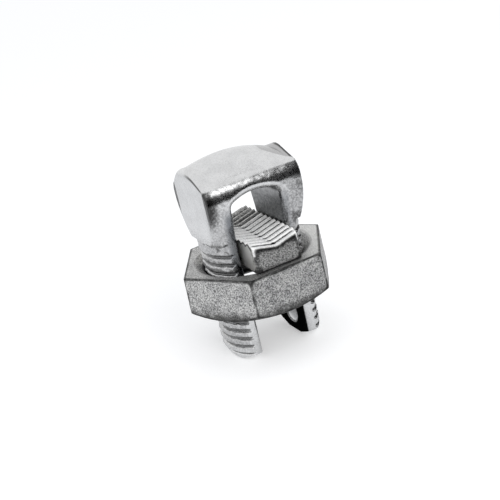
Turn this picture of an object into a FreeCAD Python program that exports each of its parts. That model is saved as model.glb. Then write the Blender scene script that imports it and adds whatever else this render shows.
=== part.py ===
import FreeCAD, Part
import math
import os
from FreeCAD import Vector

# Split bolt connector for joining cables up to 70 square millimetres.
# A forged bolt with a domed head is slotted into two threaded legs. A pressure bar with a ridged
# trough slides in the slot and is pushed up towards the eye by a hexagon nut.
# The bolt stands upright on its leg tips. X goes from leg to leg, Y along the cable, Z up.
# All sizes are millimetres and degrees.

# Threaded legs of the bolt
thread_diameter = 21.2
leg_depth = 14.0
tip_diameter = 18.6
tip_round_height = 2.4
tip_flat_depth = 5.2
tip_slope_rise = 1.6

# Slot between the legs, and the flat-arched cable eye at its top
slot_width = 10.8
eye_crown_height = 35.2
eye_crown_radius = 12.0
eye_corner_radius = 1.4
slot_rim_radius = 1.3
collar_below_crown = 8.8
flank_start_below_crown = 11.6

# Head of the bolt, flat at both ends and bulged in front and behind
head_length = 20.9
roof_thickness = 3.1
head_bulge_depth = 16.5
head_edge_setback = 1.25
bulge_below_edge = 3.0
collar_diameter = 22.7
barrel_diameter = 26.7
barrel_below_edge = 2.2

# Crown of the dome above its straight front and back edges, steered at four even stations in X
dome_reach = 12.0
dome_crowns = (2.66, 5.37, 5.35, 0.24)
# 1 is a parabola from edge to edge; more makes the sides of the dome straighter and its crown rounder
dome_straightness = 1.25

# Rounding at the plain end of the dome, steered at three stations inwards from the flat end:
# distance from it, height of the front and back edges against the head's, and crown above them
dome_end_stations = ((0, -0.5, 2.2), (0.3, 0, 3.2), (1.6, 0.05, 3.8))

# Unpressed land at the other end of the dome
land_angle = 20.5
land_start = 5.5
land_ridge_radius = 4.0

# Round punch mark near the tip of each leg, on the slot side
punch_diameter = 5.8
punch_depth = 0.8
punch_height = 4.6

# Hexagon nut
nut_across_flats = 28.0
nut_height = 9.3
nut_top_height = 20.5
nut_draft_angle = 1.6
nut_turn = 1.2
nut_sole_diameter = 27.6
nut_corner_rise = 1.5
countersink_diameter = 24.6
countersink_depth = 1.2
nut_lead_chamfer = 0.5
thread_clearance = 0.1

# Pressure bar
bar_length = 25.2
bar_side_height = 6.0
bar_side_clearance = 0.2
bar_corner_radius = 1.1
trough_depth = 1.3
lip_length = 1.3
lip_drop = 0.7
ridge_count = 12
groove_width = 1.3
groove_depth = 0.5

# Sizes that follow from the ones above
thread_radius = thread_diameter / 2
slot_half_width = slot_width / 2
bar_half_width = slot_half_width - bar_side_clearance
end_plane = head_length / 2
head_edge_height = eye_crown_height + roof_thickness
head_edge_depth = head_bulge_depth - 2 * head_edge_setback
head_bulge_height = head_edge_height - bulge_below_edge
flank_start_height = eye_crown_height - flank_start_below_crown
collar_height = eye_crown_height - collar_below_crown
barrel_height = head_edge_height - barrel_below_edge
touching = 1e-4
# Reach of the flanks above the top edges, where the dome cuts them
top_overrun = 0.6
# Reach of cutting tools past the skin they cut, and clear of the whole part
overlap = 1.0
clear = 50.0


def prism(points, sweep):
    """Solid swept from a closed outline of points."""
    return Part.Face(Part.makePolygon(points + points[:1])).extrude(sweep)


def turned(edges):
    """Solid turned about Z from an outline in the XZ plane that is closed along the axis."""
    return Part.Face(Part.Wire(edges)).revolve(Vector(), Vector(0, 0, 1), 360)


def line_edges(points):
    return [Part.makeLine(start, end) for start, end in zip(points, points[1:])]


def mirrored(point):
    """The point on the other leg's side."""
    return Vector(-point.x, point.y, point.z)


def ball_centre_rise(small_radius, large_radius, rise):
    """Height of a ball's centre above the smaller of two level circles that lie on the ball."""
    return (large_radius ** 2 - small_radius ** 2 + rise ** 2) / (2 * rise)


def arc_on_ball(small, large):
    """Arc between two points in the XZ plane on a ball that is centred on Z."""
    centre = Vector(0, 0, small.z + ball_centre_rise(small.x, large.x, large.z - small.z))
    to_middle = (small - centre) + (large - centre)
    middle = centre + to_middle.normalize() * (small - centre).Length
    return Part.Arc(small, middle, large).toShape()


def arc_about(centre, start, turn):
    """Arc from a point about a centre in the YZ plane, by an angle about X, and its end."""
    def at(angle):
        return centre + FreeCAD.Rotation(Vector(1, 0, 0), math.degrees(angle)).multVec(start - centre)
    return Part.Arc(start, at(turn / 2), at(turn)).toShape(), at(turn)


def flank_arcs():
    """Back outline of the bolt seen along X, from the flat legs over the bulge to the top edge."""
    start = Vector(0, leg_depth / 2, flank_start_height)
    bulge = Vector(0, head_bulge_depth / 2, head_bulge_height)
    lean = 2 * math.atan2(bulge.y - start.y, bulge.z - start.z)
    bend_radius = (bulge.z - start.z) / (2 * math.sin(lean))
    hollow, middle = arc_about(start + Vector(0, bend_radius, 0), start, -lean)
    swell, top = arc_about(bulge - Vector(0, bend_radius, 0), middle, lean)
    crest_radius = (bulge_below_edge ** 2 + head_edge_setback ** 2) / (2 * head_edge_setback)
    turn = math.asin(min((bulge_below_edge + top_overrun) / crest_radius, 1))
    crest, end = arc_about(bulge - Vector(0, crest_radius, 0), bulge, turn)
    return [hollow, swell, crest], start, end


def side_form():
    """The bolt as seen along X, swept between the two flat ends of the head."""
    back, start, end = flank_arcs()
    foot = Vector(0, start.y, -clear)
    roof = Vector(0, end.y, clear)
    back_half = back + line_edges([end, roof, Vector(0, 0, clear)])
    back_half += line_edges([start, foot, Vector(0, 0, -clear)])
    front_half = [edge.mirror(Vector(), Vector(0, 1, 0)) for edge in back_half]
    outline = Part.Wire(Part.__sortEdges__(back_half + front_half))
    form = Part.Face(outline).extrude(Vector(head_length, 0, 0))
    form.translate(Vector(-end_plane, 0, 0))
    return form


def round_form():
    """The bolt as turned, before its tips are cut: thread outside, collar and barrel of the head."""
    collar = Vector(collar_diameter / 2, 0, collar_height)
    barrel = Vector(barrel_diameter / 2, 0, barrel_height)
    rise = barrel.z - collar.z
    swell = barrel.x - collar.x
    arc_radius = (rise ** 2 + swell ** 2) / (2 * swell)
    centre = barrel - Vector(arc_radius, 0, 0)
    half_angle = math.asin(rise / arc_radius) / 2
    middle = centre + Vector(math.cos(half_angle), 0, -math.sin(half_angle)) * arc_radius
    swelling = Part.Arc(collar, middle, barrel).toShape()
    top = Vector(0, 0, clear)
    bottom = -top
    shank = line_edges([
        bottom,
        bottom + Vector(thread_radius, 0, 0),
        Vector(thread_radius, 0, collar.z),
        collar,
    ])
    core = line_edges([barrel, top + Vector(barrel.x, 0, 0), top, bottom])
    return turned(shank + [swelling] + core)


def tip_form():
    """Everything above the leg tips, which are rounded off outside and sloped in front and behind."""
    tip = Vector(tip_diameter / 2, 0, 0)
    shoulder = Vector(thread_radius, 0, tip_round_height)
    outside = line_edges([
        shoulder,
        Vector(clear, 0, tip_round_height),
        Vector(clear, 0, clear),
        Vector(0, 0, clear),
        Vector(),
        tip,
    ])
    rounded = turned([arc_on_ball(tip, shoulder)] + outside)
    flat = tip_flat_depth / 2
    steepness = tip_slope_rise / (leg_depth / 2 - flat)
    low = (clear - flat) * steepness
    sole = prism([
        Vector(-clear, -clear, low),
        Vector(-clear, -flat, 0),
        Vector(-clear, flat, 0),
        Vector(-clear, clear, low),
        Vector(-clear, 0, clear),
    ], Vector(2 * clear, 0, 0))
    return rounded.common(sole)


def dome_section_rows(reach):
    """Heights of five even rows of poles, as shares of the crown, for the section of the dome.

    The section is 1 - k s^2 + (k - 1) s^4, where k is the straightness and s is 1 at the edges."""
    parabola = (1, 0, -1 / 3, 0, 1)
    quartic = (1, -1, 1, -1, 1)
    bend = dome_straightness * reach ** 2
    lift = (dome_straightness - 1) * reach ** 4
    return [1 - bend * low + lift * high for low, high in zip(parabola, quartic)]


def under_patch(stations):
    """Everything under a smooth domed patch, steered by places in X, edge heights and crowns."""
    reach = head_bulge_depth / 2 + overlap
    rows = dome_section_rows(2 * reach / head_edge_depth)
    patch = Part.BezierSurface()
    patch.increase(len(stations) - 1, len(rows) - 1)
    for station, (x, edge_height, crown) in enumerate(stations, 1):
        for row, share in enumerate(rows):
            y = reach * (2 * row / (len(rows) - 1) - 1)
            patch.setPole(station, row + 1, Vector(x, y, edge_height + crown * share))
    return patch.toShape().extrude(Vector(0, 0, -clear))


def under_dome():
    """Everything under the dome, which runs out at the straight top edges."""
    step = 2 * dome_reach / (len(dome_crowns) - 1)
    places = [station * step - dome_reach for station in range(len(dome_crowns))]
    return under_patch([(x, head_edge_height, crown) for x, crown in zip(places, dome_crowns)])


def inside_dome_end():
    """Everything inside the rounding that turns the dome down to its plain flat end."""
    stations = []
    for inwards, rise, crown in dome_end_stations:
        stations.append((inwards - end_plane, head_edge_height + rise, crown))
    behind = Part.makeBox(clear, clear, 2 * clear, Vector(stations[-1][0], -clear / 2, -clear))
    return under_patch(stations).fuse(behind)


def under_land():
    """Everything under the unpressed land: two slopes from the top edges to a rounded ridge."""
    slope = math.tan(math.radians(land_angle))
    ridge_height = head_edge_height + slope * head_edge_depth / 2
    reach = head_bulge_depth
    low_height = ridge_height - slope * reach
    land = prism([
        Vector(land_start, -reach, -clear),
        Vector(land_start, -reach, low_height),
        Vector(land_start, 0, ridge_height),
        Vector(land_start, reach, low_height),
        Vector(land_start, reach, -clear),
    ], Vector(dome_reach - land_start, 0, 0))
    ridge = [edge for edge in land.Edges if edge.BoundBox.ZMin > ridge_height - touching]
    return land.makeFillet(land_ridge_radius, ridge)


def eye_corner_height():
    """Height where the straight walls of the slot turn into the corners of the eye."""
    inset = slot_half_width - eye_corner_radius
    rise = math.sqrt((eye_crown_radius - eye_corner_radius) ** 2 - inset ** 2)
    return eye_crown_height - eye_crown_radius + rise


def slot_cutter():
    """The slot from the tips up, closed by a flat arch with rounded corners."""
    crown_centre = Vector(0, -clear, eye_crown_height - eye_crown_radius)
    corner_centre = Vector(slot_half_width - eye_corner_radius, -clear, eye_corner_height())
    outwards = (corner_centre - crown_centre).normalize()
    wall_end = corner_centre + Vector(eye_corner_radius, 0, 0)
    arch_start = crown_centre + outwards * eye_crown_radius
    corner_middle = corner_centre + (outwards + Vector(1, 0, 0)).normalize() * eye_corner_radius
    crown = Vector(0, -clear, eye_crown_height)
    right = [
        Part.makeLine(wall_end + Vector(0, 0, -2 * clear), wall_end),
        Part.Arc(wall_end, corner_middle, arch_start).toShape(),
        Part.Arc(arch_start, crown, mirrored(arch_start)).toShape(),
    ]
    left = [edge.mirror(Vector(), Vector(1, 0, 0)) for edge in right[:2]]
    foot = Part.makeLine(wall_end + Vector(0, 0, -2 * clear), mirrored(wall_end) + Vector(0, 0, -2 * clear))
    outline = Part.Wire(Part.__sortEdges__(right + left + [foot]))
    return Part.Face(outline).extrude(Vector(0, 2 * clear, 0))


def is_on_rim(edge, slot):
    """True for the edges where the slot and the eye open to the front or the back."""
    middle = Part.Vertex(edge.valueAt((edge.FirstParameter + edge.LastParameter) / 2))
    upright = edge.BoundBox.YLength < head_bulge_depth / 2
    return upright and slot.distToShape(middle)[0] < touching


def punch_mark(side):
    """Ball that leaves the round mark in the slot face of one leg."""
    rim = punch_diameter / 2
    ball_radius = (rim ** 2 + punch_depth ** 2) / (2 * punch_depth)
    offset = slot_half_width + punch_depth - ball_radius
    return Part.makeSphere(ball_radius, Vector(side * offset, 0, punch_height))


def bolt_body():
    slot = slot_cutter()
    slotted = side_form().cut(slot)
    slotted = slotted.makeFillet(slot_rim_radius, [edge for edge in slotted.Edges if is_on_rim(edge, slot)])
    top = under_dome().fuse(under_land())
    bolt = slotted.common(round_form()).common(top).common(inside_dome_end()).common(tip_form())
    return bolt.cut(punch_mark(1)).cut(punch_mark(-1))


def hexagon(across_flats, height):
    """Corners of a level hexagon, the first of them repeated at the end."""
    corner = across_flats / math.sqrt(3)
    angles = [math.radians(60 * step + nut_turn) for step in range(6)]
    corners = [Vector(corner * math.cos(angle), corner * math.sin(angle), height) for angle in angles]
    return corners + corners[:1]


def hexagon_frustum(lower, upper):
    """Solid with flat sides between two hexagons."""
    faces = [Part.Face(Part.makePolygon(lower)), Part.Face(Part.makePolygon(upper))]
    for corner in range(6):
        side = lower[corner:corner + 2] + upper[corner:corner + 2][::-1] + lower[corner:corner + 1]
        faces.append(Part.Face(Part.makePolygon(side)))
    return Part.Solid(Part.Shell(faces))


def nut_outside():
    """Slightly drafted hexagon with its lower corners rounded off by a large ball."""
    bottom = nut_top_height - nut_height
    draft = 2 * nut_height * math.tan(math.radians(nut_draft_angle))
    lower = hexagon(nut_across_flats + draft, bottom)
    body = hexagon_frustum(lower, hexagon(nut_across_flats, nut_top_height))
    sole_radius = nut_sole_diameter / 2
    centre_rise = ball_centre_rise(sole_radius, lower[0].x, nut_corner_rise)
    ball_radius = math.hypot(sole_radius, centre_rise)
    return body.common(Part.makeSphere(ball_radius, Vector(0, 0, bottom + centre_rise)))


def hex_nut():
    bottom = nut_top_height - nut_height
    bore = thread_radius + thread_clearance
    hole = turned(line_edges([
        Vector(0, 0, bottom),
        Vector(bore + nut_lead_chamfer, 0, bottom),
        Vector(bore, 0, bottom + nut_lead_chamfer),
        Vector(bore, 0, nut_top_height - countersink_depth),
        Vector(countersink_diameter / 2, 0, nut_top_height),
        Vector(0, 0, nut_top_height),
        Vector(0, 0, bottom),
    ]))
    return nut_outside().cut(hole)


def valley_height():
    return nut_top_height + bar_side_height - trough_depth


def trough_cutter(section):
    """Sweep a section, given as (y, height above the valley), up both slopes of the trough."""
    run = bar_half_width + overlap
    rise = run * trough_depth / bar_half_width
    points = [Vector(0, y, valley_height() + height) for y, height in section]
    return prism(points, Vector(run, 0, rise)).fuse(prism(points, Vector(-run, 0, rise)))


def groove_cutters():
    """Grooves that leave the cross ridges standing in the trough."""
    ridged_length = bar_length - 2 * lip_length
    pitch = ridged_length / ridge_count
    above = groove_depth
    reach = groove_width / 2 * (above + groove_depth) / groove_depth
    cutters = []
    for number in range(ridge_count + 1):
        y = number * pitch - ridged_length / 2
        cutters.append(trough_cutter([(y - reach, above), (y, -groove_depth), (y + reach, above)]))
    return cutters


def lip_cutter(side):
    """Slopes the top down to one end of the bar."""
    end = bar_length / 2
    slope = lip_drop / lip_length
    return trough_cutter([
        (side * (end - lip_length), 0),
        (side * (end + overlap), -slope * (lip_length + overlap)),
        (side * (end + overlap), lip_length),
        (side * (end - lip_length), lip_length),
    ])


def bar_blank():
    top = nut_top_height + bar_side_height
    start = -bar_length / 2
    blank = prism([
        Vector(-bar_half_width, start, nut_top_height),
        Vector(bar_half_width, start, nut_top_height),
        Vector(bar_half_width, start, top),
        Vector(0, start, valley_height()),
        Vector(-bar_half_width, start, top),
    ], Vector(0, bar_length, 0))
    corners = [edge for edge in blank.Edges if edge.BoundBox.ZLength > bar_side_height - touching]
    return blank.makeFillet(bar_corner_radius, corners)


def pressure_bar():
    return bar_blank().cut([lip_cutter(1), lip_cutter(-1)] + groove_cutters())


def save(name, shape):
    os.makedirs("parts", exist_ok=True)
    shape.Solids[0].exportStep("parts/" + name + ".step")


save("bolt_body", bolt_body())
save("hex_nut", hex_nut())
save("pressure_bar", pressure_bar())
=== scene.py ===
import math

import bpy
import numpy as np
from mathutils import Matrix, Vector


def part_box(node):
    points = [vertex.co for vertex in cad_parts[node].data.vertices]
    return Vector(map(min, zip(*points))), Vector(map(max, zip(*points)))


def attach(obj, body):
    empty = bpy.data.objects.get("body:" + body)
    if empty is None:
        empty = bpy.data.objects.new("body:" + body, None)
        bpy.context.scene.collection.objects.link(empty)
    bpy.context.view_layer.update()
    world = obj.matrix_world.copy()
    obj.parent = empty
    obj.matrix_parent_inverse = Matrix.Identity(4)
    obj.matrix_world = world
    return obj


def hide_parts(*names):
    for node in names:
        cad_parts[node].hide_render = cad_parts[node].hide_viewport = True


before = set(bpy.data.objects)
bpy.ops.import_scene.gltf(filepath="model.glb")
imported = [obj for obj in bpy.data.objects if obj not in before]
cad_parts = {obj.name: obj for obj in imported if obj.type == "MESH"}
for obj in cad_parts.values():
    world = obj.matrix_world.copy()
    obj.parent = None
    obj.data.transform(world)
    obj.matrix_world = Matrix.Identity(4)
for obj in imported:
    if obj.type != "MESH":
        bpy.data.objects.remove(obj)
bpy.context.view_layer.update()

# A split bolt connector: a tinned bolt with two threaded legs, a cast nut, and a ridged bar in the slot.
# Lengths are metres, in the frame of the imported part: X from leg to leg, Y along the cable, Z up.
MM = 0.001
bolt_low, bolt_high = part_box("bolt_body")
nut_low, nut_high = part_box("hex_nut")
bar_low, bar_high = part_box("pressure_bar")

# Thread of the bolt, right-handed, and the room that the same thread has in the nut
thread_pitch = 25.4 / 14 * MM
thread_crest = 10.55 * MM
thread_root = 9.85 * MM
thread_run_out = 25.6 * MM
thread_room = 0.1 * MM

# In pitches: how far the thread is set down, and half the width of a groove at its floor and at its top
thread_shift = 0.57
groove_floor = 0.03
groove_top = 0.3

# Bruises that knock the crests of the thread down
bruise_size = 1.2 * MM
bruise_depth = 0.24 * MM

# Facets of a threaded rod, and how far it runs past the piece that it cuts
rod_sides = 160
rod_rings = 360
overrun = 1 * MM

# Half the width of the slot along X, in which the bar has some play, and half the depth of the legs along Y
bar_clearance = 0.2 * MM
slot_half = bar_high.x + bar_clearance
leg_half = 7.0 * MM

# Heights on the bolt: rounding of its tips, underside of its collar, crown of its eye, top edges of its head
tip_height = 2.0 * MM
collar_underside = 26.3 * MM
eye_crown = 35.2 * MM
head_edge = 38.3 * MM

# How far from the middle the dome runs into the front and the back of the head
dome_edge = 6.25 * MM

# Unpressed land at one end of the dome: where it starts along X, and where its slanting edge does along Y
land_start = 5.5 * MM
land_slant = -2.4 * MM

# Round punch marks near the tips of the legs
punch_height = 4.6 * MM
punch_radius = 2.9 * MM

# Back corner of the dome at its plain end, which is a little fuller than the front one
dome_corner = (-10.3 * MM, 4.6 * MM, 39.3 * MM)
dome_corner_push = (0.0, 0.3 * MM, 0.6 * MM)
dome_corner_reach = 3.6 * MM

# Heights between which a dark reflection is painted on the head's upright edges, and how far from the
# middle that starts, towards the plain end and towards the land
edge_reflection_foot = 28 * MM
edge_reflection_top = 34 * MM
edge_reflection_start_plain = 7.0 * MM
edge_reflection_start_land = 6.0 * MM

# Widths of the painted dark reflections on the rims along the slot, at the plain end and at the land
plain_rim_width = 3.0 * MM
land_rim_width = 1.7 * MM

# Painted dark reflection in a crescent between the plain end and the dome, whose front half shows
crescent_width = 0.26 * MM
crescent_back = 1.5 * MM
crescent_front = -2.5 * MM

# Bore of the nut, and the chamfers at its top and at its foot
nut_bore = 10.7 * MM
countersink_radius = 12.3 * MM
countersink_depth = 1.2 * MM
lead_depth = 0.5 * MM

# Stretch along X over which the painted light on the nut's top grows, and how far up its sides the painted
# shade reaches
nut_light_start = -6 * MM
nut_light_end = 12 * MM
nut_foot_shade_rise = 4.5 * MM

# Ends of the bar that are rounded over, above its flat foot
bar_end_reach = 1.6 * MM
bar_foot = 0.6 * MM

# How far down the trough and its lips reach, and where along Y the bright wear of the ridges starts and is
# full, with painted shade on the ridges behind it
trough_reach = 2.6 * MM
wear_and_shade_start = 5.5 * MM
wear_and_shade_full = 1.5 * MM

# How finely each piece is skinned
bolt_cell = 0.215 * MM
nut_cell = 0.22 * MM
bar_cell = 0.14 * MM

# The photograph's camera: its place, the way it looks, the way to its right, and its picture in pixels
camera_place = Vector((-72.65, -177.65, 94.62)) * MM
camera_forward = Vector((0.3510, 0.8647, -0.3593))
camera_right = Vector((0.8703, -0.4428, -0.2155))
picture_pixels = 500
focal_pixels = 1000

# Half the floor's side, its glow where it is seen, also in metal, and how much more the camera sees
floor_reach = 4.0
floor_glow = 0.22
camera_glow = 0.14


def grey(tone):
    return (tone, tone, tone)


# Colours of the studio, and of the light in its air
white = grey(1.0)
floor_white = grey(0.8)
air_light = (0.77, 0.78, 0.8)

# Colours of the bolt: its tin from clean to dark, with painted shade and painted dark reflections among
# them, its slot with painted shade and light, and its punch marks
tin_clean = (0.72, 0.725, 0.73)
tin_hazy = (0.66, 0.665, 0.67)
tin_speck = (0.46, 0.46, 0.47)
tin_land_shade = (0.46, 0.46, 0.465)
tin_front_shade = (0.32, 0.32, 0.325)
tin_thread = (0.36, 0.36, 0.365)
tin_rim_reflection = (0.2, 0.21, 0.225)
tin_crescent_reflection = grey(0.12)
tin_edge_reflection_and_collar_dark = grey(0.06)
tin_recess_shade = grey(0.07)
tin_land_edge_dark = grey(0.08)
slot_light = (0.3, 0.305, 0.31)
slot_dark = (0.17, 0.175, 0.18)
slot_crown_light = (0.6, 0.6, 0.61)
slot_nut_shadow = grey(0.004)
punch_bright = grey(0.5)
punch_pitted = grey(0.04)

# Colours of the nut's casting
nut_pit_dark = grey(0.14)
nut_pit_light = grey(0.22)
nut_grain_dark = grey(0.61)
nut_grain_light = (0.74, 0.74, 0.73)
nut_top_light = (0.85, 0.85, 0.84)
nut_foot_shade = (0.06, 0.06, 0.058)
nut_edge_reflection = grey(0.02)
nut_recess_shade = grey(0.04)

# Colours of the bar's casting
bar_pit = (0.13, 0.13, 0.128)
bar_grain = (0.5, 0.5, 0.49)
bar_side = (0.85, 0.84, 0.81)
bar_edge_shade = grey(0.04)
bar_groove_shade = grey(0.02)
bar_ridge = (0.98, 0.98, 0.97)


# Nodes

def set_inputs(tree, node, inputs):
    """Give a node's inputs a value, or link them to another node's socket."""
    for key, value in inputs.items():
        socket = node.inputs[key]
        if isinstance(value, bpy.types.NodeSocket):
            tree.links.new(value, socket)
        elif socket.type == "RGBA":
            socket.default_value = (*value, 1.0)
        else:
            socket.default_value = value


def add_node(tree, kind, inputs=None, **settings):
    """Node with its settings made and its inputs set."""
    node = tree.nodes.new(kind)
    for name, value in settings.items():
        setattr(node, name, value)
    set_inputs(tree, node, inputs or {})
    return node


def calculated(tree, operation, *values):
    """Output of a Math node over sockets or numbers."""
    return add_node(tree, "ShaderNodeMath", dict(enumerate(values)), operation=operation).outputs[0]


def product(tree, first, *others):
    """Product of sockets or numbers."""
    for other in others:
        first = calculated(tree, "MULTIPLY", first, other)
    return first


def spread(tree, value, low, high, to_low=0.0, to_high=1.0):
    """Value mapped smoothly from low..high to to_low..to_high and held there."""
    inputs = {"Value": value, "From Min": low, "From Max": high, "To Min": to_low, "To Max": to_high}
    return add_node(tree, "ShaderNodeMapRange", inputs, interpolation_type="SMOOTHSTEP").outputs["Result"]


# Shapes

def object_of(name, mesh):
    """New object in the scene, at the origin."""
    piece = bpy.data.objects.new(name, mesh)
    bpy.context.scene.collection.objects.link(piece)
    return piece


def plain_mesh(piece, name):
    """Put the evaluated shape of a piece in its own mesh and take its modifiers off."""
    shape = piece.evaluated_get(bpy.context.evaluated_depsgraph_get())
    mesh = bpy.data.meshes.new_from_object(shape)
    mesh.name = name
    piece.modifiers.clear()
    piece.data = mesh
    return piece


def merged_copy(node, name):
    """Closed copy of a CAD node, which is stored as loose triangles."""
    piece = object_of(name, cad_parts[node].data.copy())
    weld = piece.modifiers.new("weld", "WELD")
    weld.merge_threshold = 0.001 * MM
    return plain_mesh(piece, name)


def combine(piece, other, operation):
    """Join another piece to a piece, or cut it away, and remove the other one."""
    cut = piece.modifiers.new("combine", "BOOLEAN")
    cut.operation = operation
    cut.solver = "EXACT"
    cut.object = other
    plain_mesh(piece, piece.name)
    bpy.data.objects.remove(other)


def skin_over(piece, cell, soften):
    """Even skin of small cells over a closed piece, drawn back to its true surface, with soft edges."""
    sharp = object_of("sharp", piece.data.copy())
    skin = piece.modifiers.new("skin", "REMESH")
    skin.mode = "VOXEL"
    skin.voxel_size = cell
    draw = piece.modifiers.new("draw", "SHRINKWRAP")
    draw.target = sharp
    ease = piece.modifiers.new("ease", "SMOOTH")
    ease.factor = 0.5
    ease.iterations = soften
    plain_mesh(piece, piece.name)
    bpy.data.objects.remove(sharp)


def vectors(items, name):
    """One vector of each item of a mesh, as the rows of an array."""
    flat = np.empty(len(items) * 3, np.float32)
    items.foreach_get(name, flat)
    return flat.reshape(-1, 3)


def neighbours(mesh):
    """Ends of all edges of a mesh, and how many neighbours each point has."""
    ends = np.empty(len(mesh.edges) * 2, np.int32)
    mesh.edges.foreach_get("vertices", ends)
    ends = ends.reshape(-1, 2)
    return ends, np.maximum(np.bincount(ends.ravel(), minlength=len(mesh.vertices)), 1)


def neighbour_mean(ends, counts, values):
    """Mean over the neighbours of each point, one column of values at a time."""
    near, far = ends[:, 0], ends[:, 1]
    columns = []
    for column in values.T:
        total = np.bincount(near, column[far], len(counts)) + np.bincount(far, column[near], len(counts))
        columns.append(total / counts)
    return np.stack(columns, axis=1)


def mark_relief(piece, rounds, height):
    """Attribute that is 1 where a point stands proud of the skin around it, and -1 in a recess."""
    mesh = piece.data
    ends, counts = neighbours(mesh)
    places = vectors(mesh.vertices, "co").astype(float)
    smooth = places
    for _ in range(rounds):
        smooth = (smooth + neighbour_mean(ends, counts, smooth)) / 2
    normals = vectors(mesh.vertices, "normal")
    relief = ((places - smooth) * normals).sum(axis=1) / height
    stored = mesh.attributes.new("relief", "FLOAT", "POINT")
    stored.data.foreach_set("value", np.clip(relief, -1, 1).astype(np.float32))


def fill_out(piece, centre, reach, push):
    """Push the skin around a place outwards, most at its middle and nothing at its reach."""
    places = vectors(piece.data.vertices, "co")
    off = np.linalg.norm(places - np.array(centre), axis=1) / reach
    share = np.clip(1 - off ** 2, 0, 1) ** 2
    places += share[:, None] * np.array(push)
    piece.data.vertices.foreach_set("co", places.astype(np.float32).ravel())


def ease_over(piece, share_of, rounds):
    """Smooth the skin of a piece where share_of gives more than 0 for its places."""
    mesh = piece.data
    ends, counts = neighbours(mesh)
    places = vectors(mesh.vertices, "co").astype(float)
    share = share_of(places)[:, None]
    for _ in range(rounds):
        places += share * (neighbour_mean(ends, counts, places) - places) / 2
    mesh.vertices.foreach_set("co", places.astype(np.float32).ravel())


def bar_end_share(places):
    """1 at both ends of the bar, whose lips are rounded over, down to its foot."""
    above = np.clip((places[:, 2] - bar_low.z - bar_foot) / MM, 0, 1)
    return np.clip((np.abs(places[:, 1]) - bar_high.y + bar_end_reach) / MM, 0, 1) * above


def dome_edge_share(places):
    """1 along the edges where the dome runs into the front and the back of the head."""
    reach = 0.4 * MM
    end_margin = 0.6 * MM
    near = np.clip(2 - np.abs(np.abs(places[:, 1]) - dome_edge) / reach, 0, 1)
    return near * (places[:, 2] > head_edge) * (np.abs(places[:, 0]) < bolt_high.x - end_margin)


# Trees that make shapes

def open_tree(tree, names):
    """Give a tree number inputs with these names and one for its material, and return them inside it."""
    for name in names:
        tree.interface.new_socket(name=name, in_out="INPUT", socket_type="NodeSocketFloat")
    tree.interface.new_socket(name="Material", in_out="INPUT", socket_type="NodeSocketMaterial")
    return add_node(tree, "NodeGroupInput").outputs


def close_tree(tree, geometry, material):
    """End a tree in plain geometry with its material on it."""
    tree.interface.new_socket(name="Geometry", in_out="OUTPUT", socket_type="NodeSocketGeometry")
    real = add_node(tree, "GeometryNodeRealizeInstances", {"Geometry": geometry})
    dressed = add_node(tree, "GeometryNodeSetMaterial", {
        "Geometry": real.outputs["Geometry"], "Material": material,
    })
    add_node(tree, "NodeGroupOutput", {"Geometry": dressed.outputs["Geometry"]})


def run_tree(piece, tree, finish, values):
    """Run a tree on a piece with its inputs set by name, and keep what it makes as a plain mesh."""
    making = piece.modifiers.new(tree.name, "NODES")
    making.node_group = tree
    for item in tree.interface.items_tree:
        if item.name in values:
            making[item.identifier] = values[item.name]
        if item.name == "Material":
            making[item.identifier] = finish
    return plain_mesh(piece, piece.name)


def patches_over(tree, size):
    """Noise over a tree's own geometry, whose patches are about as wide as the given socket says."""
    scale = calculated(tree, "DIVIDE", 1.0, size)
    return add_node(tree, "ShaderNodeTexNoise", {"Scale": scale, "Detail": 2.0}).outputs["Fac"]


def grooved_radius(tree, given, x, y, z):
    """Radius of a rod with a right-handed groove that fades out over its last pitch."""
    turns = calculated(tree, "DIVIDE", calculated(tree, "ARCTAN2", y, x), 2 * math.pi)
    along = calculated(tree, "SUBTRACT", calculated(tree, "DIVIDE", z, given["Pitch"]), turns)
    wave = calculated(tree, "PINGPONG", calculated(tree, "ADD", along, given["Shift"]), 0.5)
    profile = spread(tree, wave, groove_floor, groove_top, given["Root"], given["Crest"])
    fade_start = calculated(tree, "SUBTRACT", given["Run Out"], given["Pitch"])
    fade = spread(tree, z, fade_start, given["Run Out"])
    depth = calculated(tree, "SUBTRACT", given["Crest"], profile)
    return calculated(tree, "ADD", profile, product(tree, fade, depth))


def bruised_radius(tree, given, radius):
    """The same radius with patches of its crests knocked down."""
    patches = spread(tree, patches_over(tree, given["Wear Size"]), 0.4, 0.7)
    bruise = product(tree, patches, given["Wear Depth"])
    return calculated(tree, "MINIMUM", radius, calculated(tree, "SUBTRACT", given["Crest"], bruise))


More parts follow.
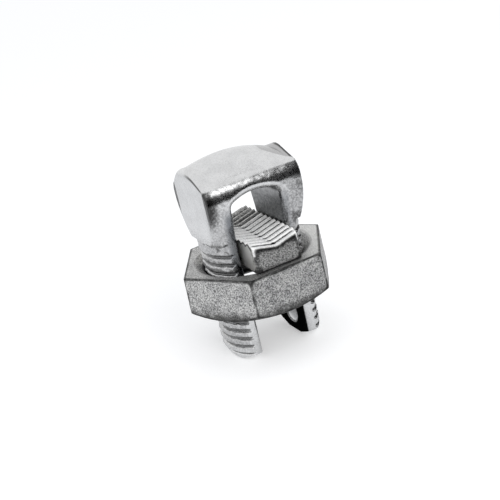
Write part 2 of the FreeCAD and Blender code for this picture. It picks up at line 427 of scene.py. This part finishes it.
def screw_tree():
    """Threaded rod under a plain head that is wide enough to leave the rest of a piece alone."""
    tree = bpy.data.node_groups.new("threaded rod", "GeometryNodeTree")
    given = open_tree(tree, ("Bottom", "Top", "Pitch", "Crest", "Root", "Shift", "Run Out",
                             "Head", "Head Radius", "Wear Size", "Wear Depth"))
    length = calculated(tree, "SUBTRACT", given["Top"], given["Bottom"])
    middle = product(tree, calculated(tree, "ADD", given["Top"], given["Bottom"]), 0.5)
    rod = add_node(tree, "GeometryNodeMeshCylinder", {
        "Vertices": rod_sides, "Side Segments": rod_rings, "Fill Segments": 1,
        "Radius": given["Crest"], "Depth": length,
    }, fill_type="TRIANGLE_FAN").outputs["Mesh"]
    position = add_node(tree, "GeometryNodeInputPosition").outputs[0]
    place = add_node(tree, "ShaderNodeSeparateXYZ", {0: position}).outputs
    z = calculated(tree, "ADD", place["Z"], middle)
    shank = grooved_radius(tree, given, place["X"], place["Y"], z)
    in_head = calculated(tree, "GREATER_THAN", z, given["Head"])
    widen = product(tree, in_head, calculated(tree, "SUBTRACT", given["Head Radius"], shank))
    radius = calculated(tree, "ADD", bruised_radius(tree, given, shank), widen)
    factor = calculated(tree, "DIVIDE", radius, given["Crest"])
    spot = add_node(tree, "ShaderNodeCombineXYZ", {
        "X": product(tree, place["X"], factor), "Y": product(tree, place["Y"], factor), "Z": z,
    }).outputs[0]
    shaped = add_node(tree, "GeometryNodeSetPosition", {"Geometry": rod, "Position": spot})
    close_tree(tree, shaped.outputs["Geometry"], given["Material"])
    return tree


def skin_tree():
    """Uneven casting skin, sunk below the true surface and never above it."""
    tree = bpy.data.node_groups.new("casting skin", "GeometryNodeTree")
    tree.interface.new_socket(name="Geometry", in_out="INPUT", socket_type="NodeSocketGeometry")
    given = open_tree(tree, ("Lump Size", "Lump Depth", "Grain Size", "Grain Depth"))
    lumps = product(tree, patches_over(tree, given["Lump Size"]), given["Lump Depth"])
    grain = product(tree, patches_over(tree, given["Grain Size"]), given["Grain Depth"])
    sink = calculated(tree, "ADD", lumps, grain)
    inward = add_node(tree, "ShaderNodeVectorMath", {
        0: add_node(tree, "GeometryNodeInputNormal").outputs[0], "Scale": product(tree, sink, -1.0),
    }, operation="SCALE").outputs[0]
    moved = add_node(tree, "GeometryNodeSetPosition", {"Geometry": given["Geometry"], "Offset": inward})
    close_tree(tree, moved.outputs["Geometry"], given["Material"])
    return tree


# Pieces

def threaded_rod(name, screw, finish, values):
    """Plain mesh of the threaded rod for the given sizes."""
    return run_tree(object_of(name, bpy.data.meshes.new(name)), screw, finish, values)


def dress(piece, finish):
    """Give a piece its one finish and smooth shading."""
    piece.data.materials.clear()
    piece.data.materials.append(finish)
    piece.data.shade_smooth()


def build_bolt(screw, finish):
    """Forged bolt with its thread cut, its dome eased into the head and its back corner filled out."""
    bolt = merged_copy("bolt_body", "threaded_bolt")
    rod = threaded_rod("bolt thread", screw, finish, {
        "Bottom": bolt_low.z - overrun, "Top": bolt_high.z + 2 * overrun, "Pitch": thread_pitch,
        "Crest": thread_crest, "Root": thread_root, "Shift": thread_shift, "Run Out": thread_run_out,
        "Head": collar_underside, "Head Radius": 2 * thread_crest,
        "Wear Size": bruise_size, "Wear Depth": bruise_depth,
    })
    combine(bolt, rod, "INTERSECT")
    skin_over(bolt, bolt_cell, soften=1)
    ease_over(bolt, dome_edge_share, rounds=16)
    fill_out(bolt, dome_corner, dome_corner_reach, dome_corner_push)
    mark_relief(bolt, rounds=40, height=0.15 * MM)
    dress(bolt, finish)
    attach(bolt, "bolt")
    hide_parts("bolt_body")


def bore_plug():
    """Cylinder that fills the nut's plain bore, so that its thread can be cut."""
    bottom = nut_low.z + lead_depth
    top = nut_high.z - countersink_depth
    overlap = 0.2 * MM
    bpy.ops.mesh.primitive_cylinder_add(
        vertices=rod_sides, radius=nut_bore + overlap,
        depth=top - bottom, location=(0, 0, (top + bottom) / 2))
    plug = bpy.context.object
    plug.data.transform(plug.matrix_world)
    plug.matrix_world = Matrix.Identity(4)
    return plug


def build_nut(screw, skin, finish):
    """Cast nut with its thread tapped right through: no run-out, no head and no bruises."""
    nut = merged_copy("hex_nut", "threaded_nut")
    combine(nut, bore_plug(), "UNION")
    out_of_reach = 1.0
    tap = threaded_rod("nut tap", screw, finish, {
        "Bottom": nut_low.z - 2 * overrun, "Top": nut_high.z + 2 * overrun, "Pitch": thread_pitch,
        "Crest": nut_bore, "Root": thread_root + thread_room, "Shift": thread_shift,
        "Run Out": out_of_reach, "Head": out_of_reach, "Head Radius": nut_bore,
        "Wear Size": bruise_size, "Wear Depth": 0.0,
    })
    combine(nut, tap, "DIFFERENCE")
    skin_over(nut, nut_cell, soften=5)
    run_tree(nut, skin, finish, {
        "Lump Size": 2.2 * MM, "Lump Depth": 0.06 * MM, "Grain Size": 0.5 * MM, "Grain Depth": 0.04 * MM,
    })
    mark_relief(nut, rounds=30, height=0.12 * MM)
    dress(nut, finish)
    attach(nut, "nut")
    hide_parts("hex_nut")


def build_bar(skin, finish):
    """Cast pressure bar with its ends rounded over."""
    bar = merged_copy("pressure_bar", "ridged_bar")
    skin_over(bar, bar_cell, soften=1)
    ease_over(bar, bar_end_share, rounds=70)
    run_tree(bar, skin, finish, {
        "Lump Size": 1.6 * MM, "Lump Depth": 0.08 * MM, "Grain Size": 0.5 * MM, "Grain Depth": 0.02 * MM,
    })
    mark_relief(bar, rounds=30, height=0.12 * MM)
    dress(bar, finish)
    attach(bar, "bar")
    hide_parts("pressure_bar")


# What finishes are made of

class Place:
    """Where a point of a piece lies: whole, by axis, and by its distance from the two middle planes."""

    def __init__(self, tree):
        self.point = add_node(tree, "ShaderNodeTexCoord").outputs["Object"]
        axes = add_node(tree, "ShaderNodeSeparateXYZ", {0: self.point}).outputs
        self.x = axes["X"]
        self.y = axes["Y"]
        self.z = axes["Z"]
        self.from_middle_x = calculated(tree, "ABSOLUTE", self.x)
        self.from_middle_y = calculated(tree, "ABSOLUTE", self.y)


def new_material(name):
    """New material with its node tree and its surface node."""
    material = bpy.data.materials.new(name)
    material.use_nodes = True
    return material, material.node_tree, material.node_tree.nodes["Principled BSDF"]


def noise_at(tree, point, size, detail=2.0, roughness=0.5):
    """Noise whose patches are about the given size across."""
    return add_node(tree, "ShaderNodeTexNoise", {
        "Vector": point, "Scale": 1 / size, "Detail": detail, "Roughness": roughness,
    }).outputs["Fac"]


def blended(tree, share, low, high):
    """Colour that goes from low to high as share goes from 0 to 1."""
    return add_node(tree, "ShaderNodeMix", {"Factor": share, 6: low, 7: high}, data_type="RGBA").outputs[2]


def layered(tree, colour, *layers):
    """Colour with other ones laid over it, each given as its share and its colour."""
    for share, over in layers:
        colour = blended(tree, share, colour, over)
    return colour


def relief_of(tree):
    """Relief that mark_relief stored on the skin."""
    return add_node(tree, "ShaderNodeAttribute", attribute_name="relief").outputs["Fac"]


def bump(tree, height, distance, over=None):
    """Normal of a skin that stands up to a distance high, and may lie over another one."""
    inputs = {"Height": height, "Distance": distance, "Strength": 1.0}
    if over is not None:
        inputs["Normal"] = over
    return add_node(tree, "ShaderNodeBump", inputs).outputs["Normal"]


def stretched(tree, point, factors):
    """Point with each of its coordinates multiplied by a factor of its own."""
    return add_node(tree, "ShaderNodeVectorMath", {0: point, 1: factors}, operation="MULTIPLY").outputs[0]


def distance_from(tree, point, centre):
    node = add_node(tree, "ShaderNodeVectorMath", {0: point, 1: centre}, operation="DISTANCE")
    return node.outputs["Value"]


def one_minus(tree, value):
    return calculated(tree, "SUBTRACT", 1.0, value)


# Parts of the bolt that have a finish of their own

def slot_share(tree, place):
    """1 on the sawn faces of the slot, which were never polished and are rougher, and which get painted
    shade.
    """
    between = spread(tree, place.from_middle_x, slot_half + 0.25 * MM, slot_half + 0.1 * MM)
    inside = spread(tree, place.from_middle_y, leg_half, leg_half - 0.6 * MM)
    below = spread(tree, place.z, eye_crown + 0.4 * MM, eye_crown + 0.2 * MM)
    return product(tree, between, inside, below)


def below_nut_share(tree, place):
    """1 on the stretch of the slot under the nut, where the nut's shadow is painted black."""
    return spread(tree, place.z, nut_low.z + 1 * MM, nut_low.z - 1 * MM)


def above_nut_share(tree, place):
    """1 above the nut, fading out inside its countersink."""
    return spread(tree, place.z, nut_high.z - 3 * MM, nut_high.z)


def punched_share(tree, place):
    """1 inside the round punch marks near the tips, which are pressed bright."""
    off = distance_from(tree, stretched(tree, place.point, (0.0, 1.0, 1.0)), (0.0, 0.0, punch_height))
    return spread(tree, off, punch_radius + 0.15 * MM, punch_radius - 0.15 * MM)


def land_share(tree, place):
    """1 on the unpressed land at one end of the head, behind a slant that ends at its front corner."""
    beside = spread(tree, place.x, land_start - 0.3 * MM, land_start + 0.3 * MM)
    above = spread(tree, place.z, head_edge - 0.2 * MM, head_edge + 0.3 * MM)
    slope = (land_slant + dome_edge) / (bolt_high.x - land_start)
    past_start = calculated(tree, "SUBTRACT", place.x, land_start)
    slanted = calculated(tree, "MULTIPLY_ADD", past_start, slope, place.y)
    behind = spread(tree, slanted, land_slant - 0.2 * MM, land_slant + 0.2 * MM)
    return product(tree, beside, above, behind)


def rim_share(tree, place):
    """1 on the rounded rim of the slot at the plain end and half at the land, from the eye to the nut, where
    a dark reflection is painted.
    """
    plain_edge = -slot_half - plain_rim_width
    plain_side = spread(tree, place.x, 0.0, -1 * MM)
    plain_rim = product(tree, spread(tree, place.x, plain_edge, plain_edge + 1.8 * MM), plain_side)
    land_edge = slot_half + land_rim_width
    land_side = spread(tree, place.x, 0.0, 1 * MM, 0.0, 0.5)
    land_rim = product(tree, spread(tree, place.x, land_edge, land_edge - 0.7 * MM), land_side)
    both = calculated(tree, "ADD", plain_rim, land_rim)
    below_eye = spread(tree, place.z, eye_crown - 1 * MM, eye_crown - 4 * MM)
    return product(tree, both, below_eye, above_nut_share(tree, place))


def collar_share(tree, place):
    """How much darker it gets under the head, above the run-out of the thread, with more of it at the land.
    """
    above = spread(tree, place.z, collar_underside - 1.5 * MM, collar_underside)
    below = spread(tree, place.z, collar_underside + 3 * MM, collar_underside + 1 * MM)
    outer = spread(tree, place.from_middle_x, slot_half + 1 * MM, slot_half + 2 * MM)
    side = spread(tree, place.x, -1 * MM, 1 * MM, 0.3, 0.75)
    return product(tree, above, below, outer, side)


def thread_share(tree, place):
    """1 on the round outside of the legs, where the thread is duller than the head."""
    outer = spread(tree, place.from_middle_x, slot_half + 2 * MM, slot_half + 2.6 * MM)
    inside = spread(tree, place.from_middle_y, leg_half, leg_half - 0.3 * MM)
    above = spread(tree, place.z, tip_height, 2 * tip_height)
    below = spread(tree, place.z, collar_underside + 1 * MM, collar_underside - 1 * MM)
    return product(tree, outer, inside, above, below)


def front_shade_share(tree, place):
    """How much painted shade lies on the fronts of the legs, more on the +X leg, between the eye and the
    nut.
    """
    below_eye = spread(tree, place.z, eye_crown + 1 * MM, eye_crown - 4 * MM)
    front = spread(tree, place.y, -leg_half + 1.5 * MM, -leg_half)
    side = spread(tree, place.x, -1 * MM, 1 * MM, 0.45, 0.9)
    return product(tree, below_eye, above_nut_share(tree, place), front, side)


def crescent_share(tree, place):
    """1 on the front half of the narrow rounding between the plain flat end and the dome, where a dark
    reflection is painted.
    """
    off_end = spread(tree, place.x, bolt_low.x + 0.01 * MM, bolt_low.x + 0.07 * MM)
    inner_edge = bolt_low.x + crescent_width
    narrow = spread(tree, place.x, inner_edge, inner_edge - 0.12 * MM)
    above = spread(tree, place.z, head_edge - 0.6 * MM, head_edge + 0.2 * MM)
    front = spread(tree, place.y, crescent_back, crescent_front)
    return product(tree, off_end, narrow, above, front)


def edge_reflection_share(tree, place):
    """1 along the upright edges of the plain end, and less along the land's, where a dark reflection is
    painted.
    """
    margin = 0.05 * MM
    plain_end = spread(tree, place.x, -edge_reflection_start_plain, bolt_low.x + margin)
    land_end = spread(tree, place.x, edge_reflection_start_land, bolt_high.x - margin, 0.15, 0.7)
    outside = spread(tree, place.from_middle_y, leg_half - 0.5 * MM, leg_half + 0.2 * MM)
    below = spread(tree, place.z, head_edge + 0.1 * MM, head_edge - 0.5 * MM)
    above = spread(tree, place.z, edge_reflection_foot, edge_reflection_top)
    return product(tree, calculated(tree, "ADD", plain_end, land_end), outside, below, above)


# Finish of the bolt

def outer_tin(tree, place, mottle):
    """Colour of the outside: clean tin, duller threads, painted shade and painted dark reflections, and
    darker under the head.
    """
    patches = spread(tree, noise_at(tree, place.point, 3.0 * MM, detail=3.0), 0.4, 0.65)
    # Painted shade on the fronts of the legs
    front = product(tree, front_shade_share(tree, place), spread(tree, mottle, 0.0, 1.0, 0.6, 1.1))
    threads = product(tree, thread_share(tree, place), spread(tree, mottle, 0.0, 1.0, 0.4, 0.9))
    # Painted dark reflection along the upright edges, laid on together with the darkening under the head
    edge_reflection_and_collar_sum = calculated(tree, "ADD", edge_reflection_share(tree, place), collar_share(tree, place))
    edge_reflection_and_collar_dark = spread(tree, calculated(tree, "MULTIPLY_ADD", mottle, 0.25, edge_reflection_and_collar_sum), 0.2, 1.25)
    return layered(
        tree, blended(tree, patches, tin_clean, tin_hazy),
        (product(tree, mottle, 0.25), tin_speck),
        # Painted shade on the land
        (land_share(tree, place), tin_land_shade),
        (front, tin_front_shade),
        (threads, tin_thread),
        (rim_share(tree, place), tin_rim_reflection),
        (edge_reflection_and_collar_dark, tin_edge_reflection_and_collar_dark),
        (crescent_share(tree, place), tin_crescent_reflection),
    )


def slot_painted_shade(tree, place, mottle):
    """Painted shade on the slot's faces, with painted light that grows towards the crown of the eye."""
    ceiling = spread(tree, place.z, eye_crown - 5 * MM, eye_crown - 1 * MM, 0.0, 0.8)
    return layered(tree, blended(tree, mottle, slot_light, slot_dark), (ceiling, slot_crown_light))


def forged_skin(tree, place):
    """Normal of the tin: soft waves of the forging under fine streaks from leg to leg."""
    waves = bump(tree, noise_at(tree, place.point, 1.6 * MM, detail=1.0), 0.07 * MM)
    streaks = noise_at(tree, stretched(tree, place.point, (0.3, 1.0, 1.0)), 0.4 * MM)
    return bump(tree, streaks, 0.007 * MM, over=waves)


def tinned_finish():
    """Bright tin over a forging: polished outside, dull in the slot, with painted shade in the slot, under
    the nut and in the hollows.
    """
    material, tree, surface = new_material("bright tinned forging")
    place = Place(tree)
    relief = relief_of(tree)
    mottle = spread(tree, noise_at(tree, place.point, 0.4 * MM, detail=3.0, roughness=0.6), 0.35, 0.65)
    slot = slot_share(tree, place)
    nut_shadow = product(tree, slot, below_nut_share(tree, place))
    punched = product(tree, slot, punched_share(tree, place))
    # Darker along the proud edges of the land
    land_edge_dark = product(tree, land_share(tree, place), spread(tree, relief, 0.3, 0.75))
    colour = layered(
        tree, outer_tin(tree, place, mottle),
        (slot, slot_painted_shade(tree, place, mottle)),
        (nut_shadow, slot_nut_shadow),
        (punched, blended(tree, mottle, punch_bright, punch_pitted)),
        # Painted shade in the hollows of the skin
        (spread(tree, relief, -0.1, -0.7, 0.0, 0.75), tin_recess_shade),
        (land_edge_dark, tin_land_edge_dark),
    )
    # The painted shadow under the nut, apart from the punch marks, is a dull non-metal without gloss, so
    # that it stays black
    in_nut_shadow = product(tree, nut_shadow, one_minus(tree, punched))
    metal = one_minus(tree, in_nut_shadow)
    rough = calculated(tree, "MULTIPLY_ADD", slot, 0.2, spread(tree, mottle, 0.0, 1.0, 0.19, 0.28))
    set_inputs(tree, surface, {
        "Base Color": colour,
        "Metallic": metal,
        "Specular IOR Level": product(tree, metal, 0.5),
        "Roughness": calculated(tree, "MULTIPLY_ADD", in_nut_shadow, 0.4, rough),
        "Normal": forged_skin(tree, place),
    })
    return material


# Finish of the nut

def speckled_casting(tree, place, grains):
    """Colour of a rough casting with dark pits and light grains, in patches."""
    patches = spread(tree, noise_at(tree, place.point, 2.6 * MM, detail=3.0), 0.38, 0.62)
    pits = blended(tree, patches, nut_pit_dark, nut_pit_light)
    light = blended(tree, patches, nut_grain_dark, nut_grain_light)
    return blended(tree, spread(tree, grains, 0.38, 0.62), pits, light)


def nut_top_light_share(tree, place):
    """Painted light: how far the top face is lighter than the sides, and more so towards +X."""
    upper = spread(tree, place.z, nut_high.z - 0.5 * MM, nut_high.z - 0.25 * MM)
    return product(tree, upper, spread(tree, place.x, nut_light_start, nut_light_end, 0.05, 0.5))


def nut_foot_shade_share(tree, place):
    """How much painted shade lies towards the foot, in patches."""
    foot = spread(tree, place.z, nut_low.z + nut_foot_shade_rise, nut_low.z)
    uneven = calculated(tree, "ADD", foot, noise_at(tree, place.point, 1.4 * MM, detail=3.0))
    return spread(tree, uneven, 0.75, 1.5, 0.0, 0.85)


def nut_edge_reflection_share(tree, place, relief, grains):
    """1 along the outer edges, where a dark reflection is painted, frayed by the grain and broken in
    stretches below the top rim.
    """
    off_axis = distance_from(tree, stretched(tree, place.point, (1.0, 1.0, 0.0)), (0.0, 0.0, 0.0))
    outer = spread(tree, off_axis, countersink_radius + 0.5 * MM, countersink_radius + 1 * MM, 0.1, 0.9)
    frayed = calculated(tree, "MULTIPLY_ADD", calculated(tree, "SUBTRACT", grains, 0.5), 1.2, relief)
    least = spread(tree, place.z, nut_high.z - 2 * MM, nut_high.z - 1 * MM, 0.4, 0.8)
    stretches = noise_at(tree, place.point, 1.5 * MM, detail=3.0, roughness=0.6)
    broken = spread(tree, stretches, 0.4, 0.6, least, 1.0)
    return product(tree, spread(tree, frayed, 0.4, 0.85), outer, broken)


def nut_finish():
    """Rough dull casting, finely speckled, with painted dark reflections on its edges, painted light on its
    top, and painted shade towards its foot and in its hollows.
    """
    material, tree, surface = new_material("rough cast nut")
    place = Place(tree)
    relief = relief_of(tree)
    grains = noise_at(tree, place.point, 0.28 * MM, detail=3.0, roughness=0.7)
    colour = layered(
        tree, speckled_casting(tree, place, grains),
        (nut_top_light_share(tree, place), nut_top_light),
        (nut_foot_shade_share(tree, place), nut_foot_shade),
        (nut_edge_reflection_share(tree, place, relief, grains), nut_edge_reflection),
        # Painted shade in the hollows
        (spread(tree, relief, -0.1, -0.7), nut_recess_shade),
    )
    lumps = bump(tree, noise_at(tree, place.point, 1.2 * MM), 0.06 * MM)
    set_inputs(tree, surface, {
        "Base Color": colour,
        "Metallic": 1.0,
        "Roughness": spread(tree, grains, 0.3, 0.7, 0.6, 0.42),
        "Normal": bump(tree, grains, 0.06 * MM, over=lumps),
    })
    return material


# Finish of the bar

def trough_share(tree, place):
    """1 on the ridged trough of the bar, short of its lips and of its upright faces."""
    inside = spread(tree, place.from_middle_y, bar_high.y - 0.2 * MM, bar_high.y - 0.6 * MM)
    between = spread(tree, place.from_middle_x, bar_high.x - 0.1 * MM, bar_high.x - 0.3 * MM)
    above = spread(tree, place.z, bar_high.z - trough_reach, bar_high.z - trough_reach + 0.4 * MM)
    return product(tree, inside, between, above)


def ridge_wear_and_shade(tree, place, relief, grains):
    """How bright the ridges are rubbed: everywhere but in the grooves, with painted shade that grows towards
    the back.
    """
    proud = spread(tree, relief, -0.45, -0.05)
    broken = spread(tree, grains, 0.36, 0.5, 0.7, 1.0)
    forward = spread(tree, place.y, wear_and_shade_start, wear_and_shade_full)
    return product(tree, trough_share(tree, place), proud, broken, forward)


def bar_finish():
    """Casting like the nut, with its ridges rubbed bright, darker towards the back, and painted shade in its
    grooves and along its outer edges.
    """
    material, tree, surface = new_material("ridged cast bar")
    place = Place(tree)
    relief = relief_of(tree)
    trough = trough_share(tree, place)
    grains = noise_at(tree, place.point, 0.3 * MM, detail=3.0, roughness=0.65)
    side = spread(tree, place.from_middle_x, bar_high.x - 0.3 * MM, bar_high.x - 0.1 * MM)
    wear_and_shade = ridge_wear_and_shade(tree, place, relief, grains)
    colour = layered(
        tree, blended(tree, spread(tree, grains, 0.36, 0.66), bar_pit, bar_grain),
        (side, bar_side),
        # Painted shade along the outer edges, off the trough
        (product(tree, one_minus(tree, trough), spread(tree, relief, 0.08, 0.35, 0.0, 0.95)), bar_edge_shade),
        # Painted shade in the grooves of the trough
        (product(tree, trough, spread(tree, relief, -0.15, -0.5)), bar_groove_shade),
        (wear_and_shade, bar_ridge),
    )
    set_inputs(tree, surface, {
        "Base Color": colour,
        "Metallic": calculated(tree, "MULTIPLY_ADD", wear_and_shade, -0.8, 1.0),
        "Roughness": spread(tree, grains, 0.3, 0.7, 0.5, 0.36),
        "Normal": bump(tree, grains, 0.04 * MM),
    })
    return material


# Studio

def add_camera():
    """Camera at the photograph's place, with the way to its right made square to the way it looks."""
    forward = camera_forward.normalized()
    right = (camera_right - forward * camera_right.dot(forward)).normalized()
    down = forward.cross(right)
    lens = bpy.data.cameras.new("camera")
    lens.sensor_width = 36.0
    lens.lens = lens.sensor_width * focal_pixels / picture_pixels
    lens.clip_start = 0.01
    lens.clip_end = 20.0
    camera = object_of("camera", lens)
    turn = Matrix((right, -down, -forward)).transposed().to_4x4()
    camera.matrix_world = Matrix.Translation(camera_place) @ turn
    bpy.context.scene.camera = camera


def seen_share(tree):
    """1 for rays from the camera, off gloss or through glass, so that all of them see the white studio."""
    path = add_node(tree, "ShaderNodeLightPath").outputs
    seen = calculated(tree, "MAXIMUM", path["Is Camera Ray"], path["Is Glossy Ray"])
    return calculated(tree, "MAXIMUM", seen, path["Is Transmission Ray"])


def set_world():
    """White studio, a little cooler and dimmer where it only lights the object."""
    world = bpy.data.worlds.new("studio")
    world.use_nodes = True
    tree = world.node_tree
    air = blended(tree, seen_share(tree), air_light, white)
    set_inputs(tree, tree.nodes["Background"], {"Color": air})
    bpy.context.scene.world = world


def add_floor():
    """White floor that keeps the object's shadow."""
    mesh = bpy.data.meshes.new("floor")
    corners = [(x * floor_reach, y * floor_reach, 0) for x, y in ((-1, -1), (1, -1), (1, 1), (-1, 1))]
    mesh.from_pydata(corners, [], [range(len(corners))])
    floor = object_of("floor", mesh)
    material, tree, surface = new_material("white studio floor")
    from_camera = add_node(tree, "ShaderNodeLightPath").outputs["Is Camera Ray"]
    extra = product(tree, from_camera, camera_glow)
    set_inputs(tree, surface, {
        "Base Color": floor_white,
        "Roughness": 0.9,
        "Specular IOR Level": 0.0,
        "Emission Color": white,
        "Emission Strength": calculated(tree, "MULTIPLY_ADD", seen_share(tree), floor_glow, extra),
    })
    mesh.materials.append(material)


def facing(azimuth, elevation, distance):
    """Place at a distance from the object's middle, turned to face it. Angles are in degrees."""
    azimuth, elevation = math.radians(azimuth), math.radians(elevation)
    level = math.cos(elevation)
    out = Vector((level * math.cos(azimuth), level * math.sin(azimuth), math.sin(elevation)))
    middle = (bolt_low + bolt_high) / 2
    return Matrix.Translation(middle + out * distance) @ out.to_track_quat("Z", "Y").to_matrix().to_4x4()


def add_lamp(name, azimuth, elevation, distance, size, radiance):
    """Square soft box that faces the object and looks as bright as its radiance."""
    lamp = bpy.data.lights.new(name, "AREA")
    lamp.shape = "SQUARE"
    lamp.size = size
    lamp.energy = radiance * math.pi * size ** 2
    box = object_of(name, lamp)
    box.matrix_world = facing(azimuth, elevation, distance)
    return box


def add_card(name, azimuth, elevation, distance, outline, tone):
    """Dark card of the studio, seen only in the metal. Its outline is (across, up) from its middle."""
    mesh = bpy.data.meshes.new(name)
    place = facing(azimuth, elevation, distance)
    corners = [place @ Vector((across, up, 0)) for across, up in outline]
    mesh.from_pydata(corners, [], [range(len(corners))])
    card = object_of(name, mesh)
    card.visible_camera = False
    card.visible_shadow = False
    card.visible_diffuse = False
    material, tree, surface = new_material(name)
    set_inputs(tree, surface, {"Base Color": grey(tone), "Roughness": 1.0, "Specular IOR Level": 0.0})
    mesh.materials.append(material)


def light_studio():
    """Two soft boxes, and two dark cards that draw the dark bands in the bright tin."""
    add_lamp("soft box above", azimuth=-66, elevation=43, distance=0.4, size=0.13, radiance=2.2)
    fill = add_lamp("fill through the eye", azimuth=-88, elevation=24, distance=0.4, size=0.2, radiance=4.5)
    # The fill lights the bar through the eye and leaves no highlight of its own in the metal
    fill.visible_glossy = False
    # The card in front rises towards +X, so that the bright band of the head ends dark on that side
    front = [(-0.09, -0.02), (0.09, -0.02), (0.1, 0.2), (0.03, 0.2), (0.008, 0.134),
             (-0.006, 0.09), (-0.03, 0.055), (-0.09, 0.042)]
    add_card("dark card in front", azimuth=-65, elevation=0, distance=0.12, outline=front, tone=0.02)
    side = [(-0.08, -0.02), (0.08, -0.02), (0.08, 0.1), (-0.08, 0.1)]
    add_card("dark card right", azimuth=20, elevation=0, distance=0.2, outline=side, tone=0.01)


screw = screw_tree()
skin = skin_tree()
build_bolt(screw, tinned_finish())
build_nut(screw, skin, nut_finish())
build_bar(skin, bar_finish())
add_camera()
set_world()
add_floor()
light_studio()
bpy.context.scene.view_settings.view_transform = "Standard"
